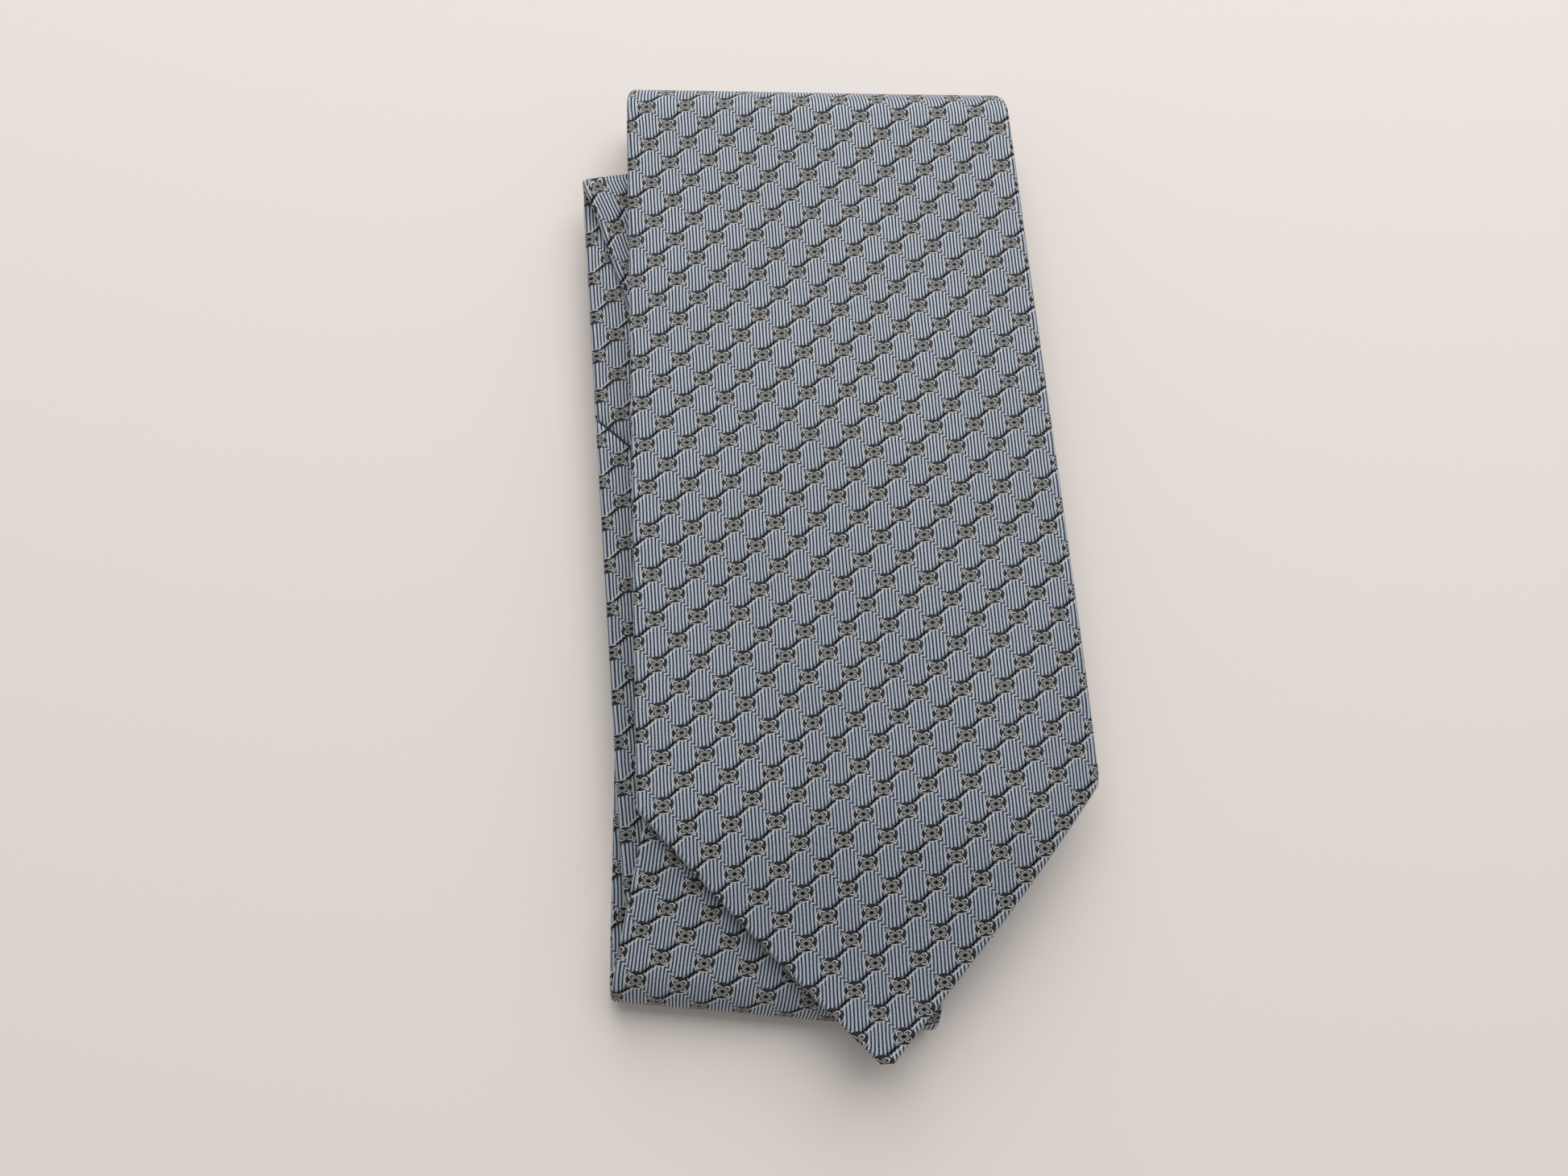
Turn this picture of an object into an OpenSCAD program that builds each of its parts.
// A woven silk necktie, folded flat for the shelf, with its front outwards.
// One long strip goes back and forth in ten flat runs joined by nine half-round folds.
// The first run is the wide blade, on top. The top fold takes the strip down to the second run,
// on the floor, and the bottom fold takes it up again to the third, just under the blade.
// The other runs zigzag downwards between the two. Odd runs lie front up, even runs front down.
// The blade lifts about the hinge line at the top fold.
// +X is to the right, +Y towards the top fold, +Z up; the pile stands on Z = 0.
// Along the strip v is the distance from the blade's tip, and across it u is positive to the right.

/* [Outline] */
// Whole length of the tie, from tip to tip
tie_len = 1470; // [1460:1:1480]
// Width across the blade's two corners
blade_w = 85; // [80:0.5:88]
// Distance from the blade's tip to its corners
tip_len = 46; // [42:0.5:50]
// Width of the blunt point at either tip
point_w = 2.4; // [1.6:0.2:4]
// Width where the blade goes over the top fold
top_fold_w = 79; // [76:0.5:82]
// Width at the bottom fold, between the second and third runs
bottom_fold_w = 60.6; // [56:0.2:64]
// Width of the neck
neck_w = 37; // [34:0.5:40]
// Width across the tail's two corners
tail_w = 48; // [44:0.5:52]
// Distance from the tail's tip to its corners
tail_tip_len = 26; // [23:0.5:30]

/* [Cloth] */
// Thickness of the silk shell
cloth_t = 0.3; // [0.25:0.05:0.35]
// Thickness of the pocket in the shell that the interlining fills
pocket_t = 0.7; // [0.6:0.05:0.8]
// Slack between the interlining and the shell, on each face
lining_slack = 0.05; // [0.03:0.01:0.08]
// Width of the turned edge beside the pocket
edge_w = 0.8; // [0.6:0.1:1.2]
// Free height between two runs of the pile
layer_gap = 0.3; // [0.25:0.05:0.4]
// Free height under the blade, which holds its loop and labels
blade_gap = 1.3; // [1.2:0.1:1.6]
// Clearance between the blade and the top fold at the hinge line
hinge_gap = 0.3; // [0.25:0.05:0.4]

/* [Folding] */
// Distance from the middle of the pile to the blade's tip, to the right
tip_x = 10.2; // [9:0.1:11]
// Distance from the middle of the pile to the blade's tip, downwards
tip_y = 97; // [96:0.1:98]
// Lean of the blade, downwards and to the right
blade_lean = 3.5; // [3:0.1:4.5]
// Length of the blade's run, from its tip to the top fold
run_1_len = 186; // [184:0.5:188]
// Length of the second run, under the whole pile
run_2_len = 171.7; // [168:0.1:174]
// Length of the third run, just under the blade
run_3_len = 135; // [130:1:138]
// Length of the fourth run
run_4_len = 104; // [98:1:108]
// Length of the fifth run, which shows at the upper left
run_5_len = 137; // [130:1:140]
// Length of the sixth run, which shows along the left side
run_6_len = 146; // [140:1:148]
// Length of the seventh run
run_7_len = 134; // [126:1:140]
// Length of the eighth run
run_8_len = 136; // [128:1:142]
// Length of the ninth run
run_9_len = 138; // [130:1:144]
// Slope of the top fold line, rising to the right
fold_1_tilt = 0.65; // [0.3:0.05:1.5]
// Slope of the bottom fold line
fold_2_tilt = -5.2; // [-6:0.1:-4]
// Slope of the third fold line, at the top under the blade
fold_3_tilt = -3.1; // [-3.6:0.1:-2.8]
// Slope of the fourth fold line, at the bottom under the third run
fold_4_tilt = 10.7; // [10.3:0.1:11]
// Slope of the fifth fold line, which shows at the upper left
fold_5_tilt = 12.2; // [11:0.1:13]
// Slope of the sixth fold line
fold_6_tilt = 0; // [-1:0.1:1]
// Slope of the seventh fold line
fold_7_tilt = -1.5; // [-2.5:0.1:-0.5]
// Slope of the eighth fold line
fold_8_tilt = 0; // [-1:0.1:1]
// Slope of the ninth fold line
fold_9_tilt = 0; // [-1:0.1:1]

/* [Seams and stitches] */
// Place of the diagonal seam between the blade panel and the neck panel
neck_seam_v = 853; // [840:1:865]
// Place of the diagonal seam between the neck panel and the tail panel
tail_seam_v = 1140; // [1120:1:1160]
// Gap between two panels at a seam
seam_gap = 0.1; // [0.05:0.05:0.2]
// Thickness of the sewing threads
thread_t = 0.2; // [0.15:0.05:0.25]
// Length of one slip stitch
stitch_len = 3; // [2:0.5:4]
// Distance from one slip stitch to the next
stitch_pitch = 12; // [8:1:16]
// Length of a bar tack across the back seam
tack_len = 6; // [4:0.5:8]
// Width of a bar tack
tack_w = 1.2; // [0.8:0.1:1.6]

/* [Back of the blade] */
// Top of the open triangle where the tipping shows, and the blade's bar tack
opening_v = 104; // [98:1:110]
// Width of the shell turned under along the tip's edges
tip_hem = 6; // [5:0.5:8]
// Place of the care label's middle
care_v = 116; // [113:1:119]
// Length of the care label, across the tie
care_len = 22; // [18:1:26]
// Width of the care label, along the tie
care_w = 11; // [9:0.5:12]
// Place of the keeper loop's middle
loop_v = 135; // [132:1:138]
// Length of the keeper loop, across the tie
loop_len = 48; // [44:1:54]
// Width of the keeper loop, along the tie
loop_w = 12; // [10:0.5:14]
// Thickness of the loop's doubled silk
loop_t = 0.45; // [0.4:0.05:0.5]
// Length of each end of the loop that is sewn down
loop_foot = 3; // [2:0.5:4]
// Free height between the keeper loop and the blade
loop_gap = 0.3; // [0.25:0.05:0.35]
// Place of the maker's label's middle
label_v = 160; // [156:1:164]
// Length of the maker's label, across the tie
label_len = 44; // [38:1:50]
// Width of the maker's label, along the tie
label_w = 18; // [14:1:22]
// Thickness of the labels
label_t = 0.3; // [0.25:0.05:0.35]
// Distance from an edge of the loop or the label to its stitches
stitch_margin = 1; // [0.6:0.1:1.4]

/* [Back of the tail] */
// Distance from the tail's tip to its bar tack and the top of its open triangle
tail_opening = 62; // [56:1:68]
// Width of the shell turned under along the tail tip's edges
tail_hem = 4; // [3:0.5:5]

/* [Hidden] */
RUNS = 10;
FOLDS = RUNS - 1;
OVERLAP = 0.05;                        // how far a cut runs past the face that it opens
SILK = [0.37, 0.45, 0.54];
SILK_DARK = [0.29, 0.36, 0.44];
WOOL = [0.86, 0.84, 0.78];
TIPPING = [0.20, 0.25, 0.33];
LABEL = [0.13, 0.15, 0.19];
THREAD = [0.47, 0.55, 0.64];

run_t = 2 * cloth_t + pocket_t;        // thickness of one run
lining_t = pocket_t - 2 * lining_slack;
lining_edge = 1.5 * edge_w;            // distance from the strip's edges to the interlining
lining_end = 3 * edge_w;               // distance from a tip to the interlining
tip_wall = 2 * edge_w;                 // distance from a tip to the shell's pocket
step_clear = 3 * edge_w;               // nearest that a corner of the outline comes to a run's end
min_half = point_w / 4;                // least half width of an inset outline
pitch = run_t + layer_gap;             // height from one run to the next
blade_pitch = run_t + blade_gap;       // height from the third run to the blade
run_len = [run_1_len, run_2_len, run_3_len, run_4_len, run_5_len, run_6_len, run_7_len, run_8_len, run_9_len];
tilt = [fold_1_tilt, fold_2_tilt, fold_3_tilt, fold_4_tilt, fold_5_tilt, fold_6_tilt, fold_7_tilt,
    fold_8_tilt, fold_9_tilt];

// Half the strip's width at each place along it
top_fold_v = 190;
bottom_fold_v = 392;
neck_start_v = 640;
neck_end_v = 1010;
HALF = [[0, point_w / 2], [tip_len, blade_w / 2], [top_fold_v, top_fold_w / 2],
    [bottom_fold_v, bottom_fold_w / 2], [neck_start_v, neck_w / 2], [neck_end_v, neck_w / 2],
    [tie_len - tail_tip_len, tail_w / 2], [tie_len, point_w / 2]];
function half_w(v) = lookup(v, HALF);

// Middle height of run i: the blade on top, the second run on the floor, the others downwards in order
function run_z(i) = run_t / 2 + (i == 0 ? (RUNS - 2) * pitch + blade_pitch : i == 1 ? 0 : (RUNS - i) * pitch);

// Fold k joins run k to run k + 1: its middle radius, the direction of its line and its outward direction
function fold_r(k) = abs(run_z(k) - run_z(k + 1)) / 2;
function fold_z(k) = (run_z(k) + run_z(k + 1)) / 2;
function fold_dir(k) = [cos(tilt[k]), sin(tilt[k])];
function fold_out(k) = (k % 2 == 0 ? 1 : -1) * [-sin(tilt[k]), cos(tilt[k])];
function mirrored(w, n) = w - 2 * (w * n) * n;

// Directions along (increasing v) and across (increasing u) run i, and where its middle line starts
function along(i) = i == 0 ? [-sin(blade_lean), cos(blade_lean)] : mirrored(along(i - 1), fold_out(i - 1));
function across(i) = i == 0 ? [cos(blade_lean), sin(blade_lean)] : mirrored(across(i - 1), fold_out(i - 1));
function start(i) = i == 0 ? [tip_x, -tip_y] : fold_at(i - 1) + fold_shift(i - 1) * fold_dir(i - 1);
function fold_at(k) = start(k) + run_len[k] * along(k);
// A strip that meets a fold askew moves along it as it goes round
function fold_shift(k) = PI * fold_r(k) * (along(k) * fold_dir(k)) / (along(k) * fold_out(k));
function start_v(i) = i == 0 ? 0
    : start_v(i - 1) + run_len[i - 1] + PI * fold_r(i - 1) / (along(i - 1) * fold_out(i - 1));
function end_v(i) = i == FOLDS ? tie_len : start_v(i) + run_len[i];

// A point of run i at (u, v), and how far v moves per unit of u along the line of fold k on run i
function at(i, u, v) = start(i) + u * across(i) + (v - start_v(i)) * along(i);
function skew(i, k) = k < 0 || k >= FOLDS ? 0 : -(across(i) * fold_out(k)) / (along(i) * fold_out(k));

// The outline of run i from v0 to v1, drawn in by inset; slope0 and slope1 are the slants of its ends
function side(i, s, v0, v1, slope0, slope1, inset) =
    let (edge = function(v) s * max(half_w(v) - inset, min_half),
         steps = [for (h = HALF) if (h[0] > v0 + step_clear && h[0] < v1 - step_clear) h[0]])
    concat([at(i, edge(v0), v0 + slope0 * edge(v0))],
        [for (v = steps) at(i, edge(v), v)],
        [at(i, edge(v1), v1 + slope1 * edge(v1))]);
function reversed(list) = [for (i = [len(list) - 1 : -1 : 0]) list[i]];
module outline(i, v0, v1, slope0, slope1, inset = 0)
    polygon(concat(side(i, -1, v0, v1, slope0, slope1, inset),
        reversed(side(i, 1, v0, v1, slope0, slope1, inset))));

// A slab of run i whose middle height is off the run's own by dz
module slab(i, v0, v1, slope0, slope1, height, inset = 0, dz = 0)
    translate([0, 0, run_z(i) + dz - height / 2])
        linear_extrude(height) outline(i, v0, v1, slope0, slope1, inset);

// The silk of run i from v0 to v1: a flat tube, open where the strip goes on and closed at a tip
module silk_run(i, v0, v1, slope0, slope1) {
    cut0 = v0 <= 0 ? tip_wall : v0 - OVERLAP;
    cut1 = v1 >= tie_len ? tie_len - tip_wall : v1 + OVERLAP;
    difference() {
        slab(i, v0, v1, slope0, slope1, run_t);
        slab(i, cut0, cut1, slope0, slope1, pocket_t, inset = edge_w);
    }
}

// A half ring on fold k, of the given thickness about the middle radius
module half_ring(k, thickness, inset = 0) {
    v_mid = start_v(k + 1) - (start_v(k + 1) - end_v(k)) / 2;
    half = half_w(v_mid) / (along(k) * fold_out(k)) - inset;
    middle = fold_at(k) + fold_shift(k) / 2 * fold_dir(k);
    translate([middle.x, middle.y, fold_z(k)])
        rotate([0, 0, tilt[k] + (k % 2) * 180])
            rotate([0, 90, 0])
                rotate_extrude(angle = 180)
                    translate([fold_r(k) - thickness / 2, -half])
                        square([thickness, 2 * half]);
}

module silk_fold(k) color(SILK_DARK)
    difference() {
        half_ring(k, run_t);
        half_ring(k, pocket_t, inset = edge_w);
    }

// A whole run between its two folds
module whole_run(i) color(SILK)
    silk_run(i, start_v(i), end_v(i), skew(i, i - 1), skew(i, i));

// The two parts of a run that a diagonal seam crosses
module before_seam(i, seam_v) color(SILK)
    silk_run(i, start_v(i), seam_v - seam_gap / 2, skew(i, i - 1), 1);
module after_seam(i, seam_v) color(SILK)
    silk_run(i, seam_v + seam_gap / 2, end_v(i), 1, skew(i, i));

// The open kite on the back of a tip: where the turned edges leave the tipping in sight.
// Its lower sides lie parallel to the tip's edges, and its side corners the hem's width from the sides.
function kite(i, tip_v, sign, corner, half, hem, top) =
    let (low = hem / sin(atan2(half, corner)), wide = half - hem, side_v = low + wide * corner / half)
    [at(i, 0, tip_v + sign * low), at(i, wide, tip_v + sign * side_v),
        at(i, 0, tip_v + sign * top), at(i, -wide, tip_v + sign * side_v)];
module blade_kite() polygon(kite(0, 0, 1, tip_len, blade_w / 2, tip_hem, opening_v));
module tail_kite() polygon(kite(FOLDS, tie_len, -1, tail_tip_len, tail_w / 2, tail_hem, tail_opening));
blade_back = run_z(0) - run_t / 2;          // height of the blade's back face
tail_back = run_z(FOLDS) + run_t / 2;       // height of the tail's back face, which is upwards

// --- the blade, which lifts ---
module blade_panel() color(SILK)
    difference() {
        silk_run(0, 0, run_1_len - hinge_gap, 0, skew(0, 0));
        translate([0, 0, blade_back - OVERLAP]) linear_extrude(cloth_t + 2 * OVERLAP) blade_kite();
    }

module blade_tipping() color(TIPPING)
    translate([0, 0, blade_back + OVERLAP]) linear_extrude(cloth_t - OVERLAP) blade_kite();

module blade_interlining() color(WOOL)
    slab(0, lining_end, run_1_len - hinge_gap, 0, skew(0, 0), lining_t, inset = lining_edge);

// A flat piece on the blade's back, long across it, with its upper face down by drop
module on_blade_back(v, length, width, thickness, drop = 0)
    translate([at(0, 0, v).x, at(0, 0, v).y, blade_back - drop - thickness])
        rotate([0, 0, blade_lean])
            translate([-length / 2, -width / 2, 0]) cube([length, width, thickness]);

module care_label() color("white") on_blade_back(care_v, care_len, care_w, label_t);

module maker_label() color(LABEL) on_blade_back(label_v, label_len, label_w, label_t);

// A pair of things, one at each side of the blade's middle line, off it by the given distance
module at_both_ends(distance)
    for (s = [-1, 1])
        translate([s * distance * cos(blade_lean), s * distance * sin(blade_lean), 0]) children();

module keeper_loop() color(SILK_DARK) on_blade_back(loop_v, loop_len, loop_w, loop_t, loop_gap);

// The loop's ends are turned under and sewn down, which holds its strap off the blade
module keeper_loop_ends() color(SILK_DARK)
    at_both_ends((loop_len - loop_foot) / 2) on_blade_back(loop_v, loop_foot, loop_w, loop_gap);

module loop_stitches() color(THREAD)
    at_both_ends((loop_len - loop_foot) / 2)
        on_blade_back(loop_v, thread_t, loop_w - 2 * stitch_margin, thread_t, loop_gap + loop_t);

module label_stitches() color(THREAD)
    at_both_ends(label_len / 2 - stitch_margin)
        on_blade_back(label_v, thread_t, label_w - 2 * stitch_margin, thread_t, label_t);

module blade_bar_tack() color(THREAD) on_blade_back(opening_v + tack_w, tack_len, tack_w, thread_t);

// Slip stitches down the back seam of run i from v0 to v1, none of them across a piecing seam
module stitches(i, v0, v1)
    for (v = [v0 : stitch_pitch : v1])
        if (abs(v - neck_seam_v) > stitch_len && abs(v - tail_seam_v) > stitch_len)
            translate([at(i, 0, v).x, at(i, 0, v).y,
                run_z(i) + (i % 2 == 0 ? -run_t / 2 - thread_t : run_t / 2)])
                rotate([0, 0, atan2(along(i).y, along(i).x)])
                    translate([-stitch_len / 2, -thread_t / 2, 0]) cube([stitch_len, thread_t, thread_t]);
module blade_slip_stitch() color(THREAD) {
    below_loop = (care_v + care_w / 2 + loop_v - loop_w / 2) / 2;
    above_loop = (loop_v + loop_w / 2 + label_v - label_w / 2) / 2;
    for (v = [below_loop, above_loop]) stitches(0, v, v);
    stitches(0, label_v + label_w / 2 + stitch_len, run_1_len - stitch_len);
}

// --- the folded pile, which stays ---
module pile_slip_stitch() color(THREAD)
    for (i = [1 : FOLDS])
        stitches(i, start_v(i) + stitch_pitch / 2,
            (i == FOLDS ? tie_len - tail_opening : end_v(i)) - stitch_pitch / 2);

// The interlining's flat stretches stop just short of its half rings, so that each is a clean solid
module folded_interlining() color(WOOL) {
    for (i = [1 : FOLDS])
        slab(i, start_v(i) + OVERLAP, i == FOLDS ? tie_len - lining_end : end_v(i) - OVERLAP,
            skew(i, i - 1), skew(i, i), lining_t, inset = lining_edge);
    for (k = [0 : FOLDS - 1]) half_ring(k, lining_t, inset = lining_edge);
}

module tail_panel_end() color(SILK)
    difference() {
        silk_run(FOLDS, start_v(FOLDS), tie_len, skew(FOLDS, FOLDS - 1), 0);
        translate([0, 0, tail_back - cloth_t - OVERLAP]) linear_extrude(cloth_t + 2 * OVERLAP) tail_kite();
    }

module tail_tipping() color(TIPPING)
    translate([0, 0, tail_back - cloth_t]) linear_extrude(cloth_t - OVERLAP) tail_kite();

module tail_bar_tack() color(THREAD) {
    place = at(FOLDS, 0, tie_len - tail_opening - tack_w);
    translate([place.x, place.y, tail_back])
        rotate([0, 0, atan2(across(FOLDS).y, across(FOLDS).x)])
            translate([-tack_len / 2, -tack_w / 2, 0]) cube([tack_len, tack_w, thread_t]);
}

// The thread of a piecing seam, on both faces of run i
module seam_thread(i, seam_v) color(SILK_DARK) {
    place = at(i, 0, seam_v);
    length = 2 * sqrt(2) * (half_w(seam_v) - edge_w);
    translate([place.x, place.y, run_z(i)])
        rotate([0, 0, atan2((across(i) + along(i)).y, (across(i) + along(i)).x)])
            for (dz = [run_t / 2, -run_t / 2 - thread_t])
                translate([-length / 2, -thread_t / 2, dz]) cube([length, thread_t, thread_t]);
}

FOLD_NODES = ["blade_fold_1", "blade_fold_2", "blade_fold_3", "blade_fold_4", "blade_fold_5",
    "neck_fold_6", "neck_fold_7", "tail_fold_8", "tail_fold_9"];
RUN_NODES = ["blade_run_2", "blade_run_3", "blade_run_4", "blade_run_5", "neck_run_7", "tail_run_9"];
WHOLE_RUNS = [1, 2, 3, 4, 6, 8];

blade_panel();
blade_interlining();
blade_tipping();
care_label();
keeper_loop();
keeper_loop_ends();
loop_stitches();
maker_label();
label_stitches();
blade_bar_tack();
blade_slip_stitch();
for (k = [0 : FOLDS - 1])
    silk_fold(k);
for (n = [0 : len(WHOLE_RUNS) - 1])
    whole_run(WHOLE_RUNS[n]);
before_seam(5, neck_seam_v);  // blade_run_6
after_seam(5, neck_seam_v);  // neck_run_6
before_seam(7, tail_seam_v);  // neck_run_8
after_seam(7, tail_seam_v);  // tail_run_8
tail_panel_end();
seam_thread(5, neck_seam_v);  // neck_seam_thread
seam_thread(7, tail_seam_v);  // tail_seam_thread
folded_interlining();
tail_tipping();
tail_bar_tack();
pile_slip_stitch();
